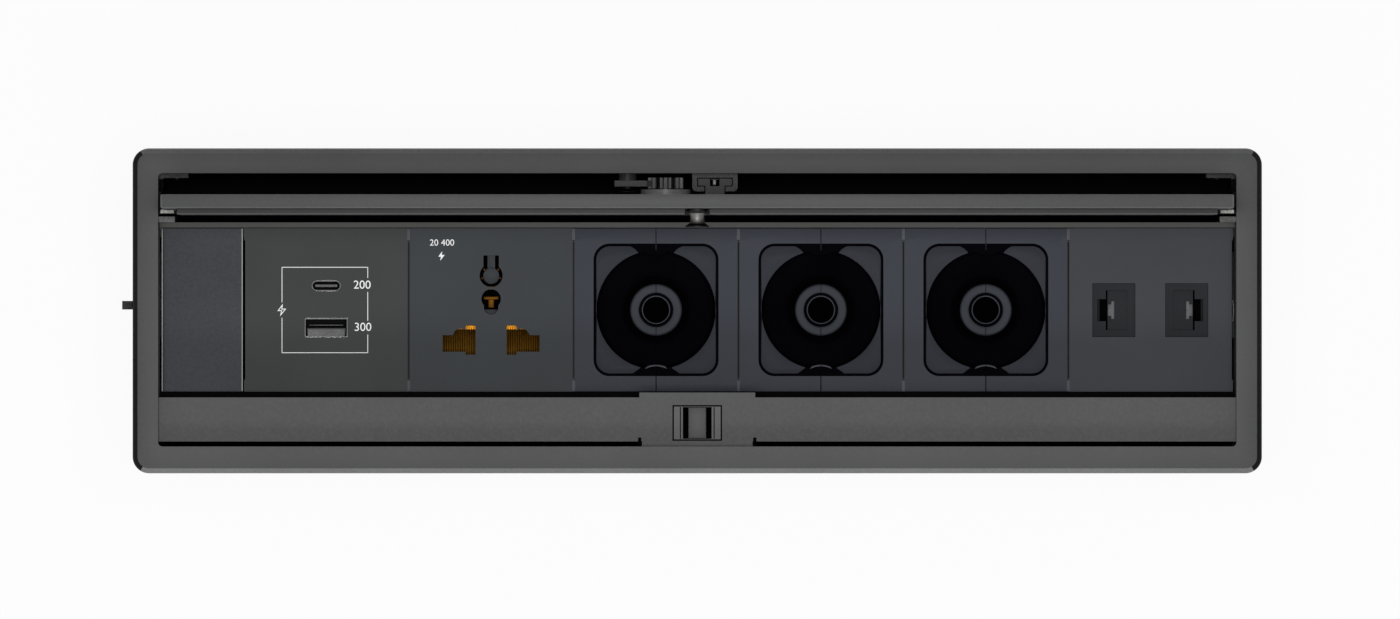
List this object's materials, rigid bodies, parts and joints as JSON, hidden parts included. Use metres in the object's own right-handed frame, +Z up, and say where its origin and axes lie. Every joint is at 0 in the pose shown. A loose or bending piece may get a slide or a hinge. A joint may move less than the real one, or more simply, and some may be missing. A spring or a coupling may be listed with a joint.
{
  "type": "in-desk power module",
  "caption": "Recessed desktop power trough: black bezel, lid standing on edge behind a row of charging, mains, cable-port and data modules, touch latch, damper rack and guide",
  "frame": {"origin": "centre of the desk cut-out, on the desk's top surface, where the underside of the bezel rests", "axes": "+X along the module row to the right, +Y to the rear where the lid stands, +Z up out of the desk"},
  "size_m": [0.3451, 0.0982, 0.1741],
  "materials": {
    "bezel_black": "satin black powder coat on die-formed aluminium",
    "lid_black": "satin black powder coat on aluminium plate",
    "rail_black": "satin black powder coat on an aluminium extrusion",
    "liner_black": "matt black moulded liner",
    "housing_steel": "matt black coated steel sheet",
    "rail_steel": "olive grey coated steel",
    "guide_aluminium": "black anodised aluminium",
    "bright_steel": "zinc-plated steel",
    "module_plastic": "fine-textured slate grey moulding",
    "black_plastic": "black moulding",
    "grey_plastic": "light grey moulding",
    "port_metal": "drawn stainless shell",
    "circuit_board": "green solder resist",
    "contact_brass": "spring brass",
    "wire_sheath": "wire insulation"
  },
  "bodies": {
    "root": {"bezel": "bezel_black", "blank_plate": "module_plastic", "bracket_screws": "bright_steel", "cable_port_1_left": "module_plastic", "cable_port_1_right": "module_plastic", "cable_port_2_left": "module_plastic", "cable_port_2_right": "module_plastic", "cable_port_3_left": "module_plastic", "cable_port_3_right": "module_plastic", "clamp_bracket_left": "housing_steel", "clamp_bracket_right": "housing_steel", "contact_earth": "contact_brass", "contact_live": "contact_brass", "contact_neutral": "contact_brass", "corner_bracket_left": "housing_steel", "corner_bracket_right": "housing_steel", "data_jack_left": "grey_plastic", "data_jack_right": "grey_plastic", "data_plate": "module_plastic", "end_plate_left": "housing_steel", "end_plate_right": "housing_steel", "front_rail": "rail_black", "guide_channel": "guide_aluminium", "housing_shell": "housing_steel", "inlet_pins": "contact_brass", "inner_wires": "wire_sheath", "jack_contacts": "contact_brass", "latch_case": "black_plastic", "latch_spring": "bright_steel", "module_rail_front": "rail_steel", "module_rail_rear": "rail_steel", "power_inlet": "black_plastic", "rack": "black_plastic", "rack_screws": "bright_steel", "side_track_left": "housing_steel", "side_track_right": "housing_steel", "socket_body": "black_plastic", "socket_plate": "module_plastic", "usb_a_port": "port_metal", "usb_board": "circuit_board", "usb_c_port": "port_metal", "usb_case": "black_plastic", "usb_plate": "module_plastic"},
    "carriage": {"carriage": "guide_aluminium", "guide_runner": "black_plastic", "damper_case": "black_plastic", "hinge_pins": "bright_steel", "carriage_screws": "bright_steel"},
    "damper_pinion": {"damper_pinion": "black_plastic"},
    "lid": {"lid_panel": "lid_black", "lid_liner": "liner_black", "striker": "bright_steel", "hinge_leaf_left": "bright_steel", "hinge_leaf_right": "bright_steel"},
    "latch_plunger": {"latch_plunger": "grey_plastic"},
    "clamp_screw_left": {"clamp_screw_left": "bright_steel"},
    "clamp_screw_right": {"clamp_screw_right": "bright_steel"},
    "clamp_dog_left": {"clamp_dog_left": "bright_steel"},
    "clamp_dog_right": {"clamp_dog_right": "bright_steel"}
  },
  "joints": [
    {"name": "lid_slide", "type": "slide", "parent": "root", "child": "carriage", "axis": [0, 0, 1], "range_m": [-0.0711, 0]},
    {"name": "lid_tilt", "type": "hinge", "parent": "carriage", "child": "lid", "pos_m": [0, 0.0325, 0.0006], "axis": [1, 0, 0], "range_deg": [0, 90]},
    {"name": "pinion_spin", "type": "hinge", "parent": "carriage", "child": "damper_pinion", "pos_m": [-0.0096, 0.0387, -0.0165], "axis": [0, 1, 0], "continuous": true},
    {"name": "latch_push", "type": "slide", "parent": "root", "child": "latch_plunger", "axis": [0, 0, -1], "range_m": [-0.003, 0.0015], "stiffness_N_per_m": 150, "deforming": ["latch_spring"]},
    {"name": "clamp_turn_left", "type": "hinge", "parent": "root", "child": "clamp_screw_left", "pos_m": [-0.1589, 0.0017, -0.057], "axis": [0, 0, -1], "range_deg": [0, 90]},
    {"name": "dog_lift_left", "type": "slide", "parent": "clamp_screw_left", "child": "clamp_dog_left", "axis": [0, 0, -1], "range_m": [-0.0134, 0.0165]},
    {"name": "clamp_turn_right", "type": "hinge", "parent": "root", "child": "clamp_screw_right", "pos_m": [0.1589, 0.0017, -0.057], "axis": [0, 0, 1], "range_deg": [-50, 40]},
    {"name": "dog_lift_right", "type": "slide", "parent": "clamp_screw_right", "child": "clamp_dog_right", "axis": [0, 0, -1], "range_m": [-0.0134, 0.0165]}
  ],
  "couplings": [
    {"joint": "pinion_spin", "follows": "lid_slide", "rad_per_m": -208.33}
  ]
}
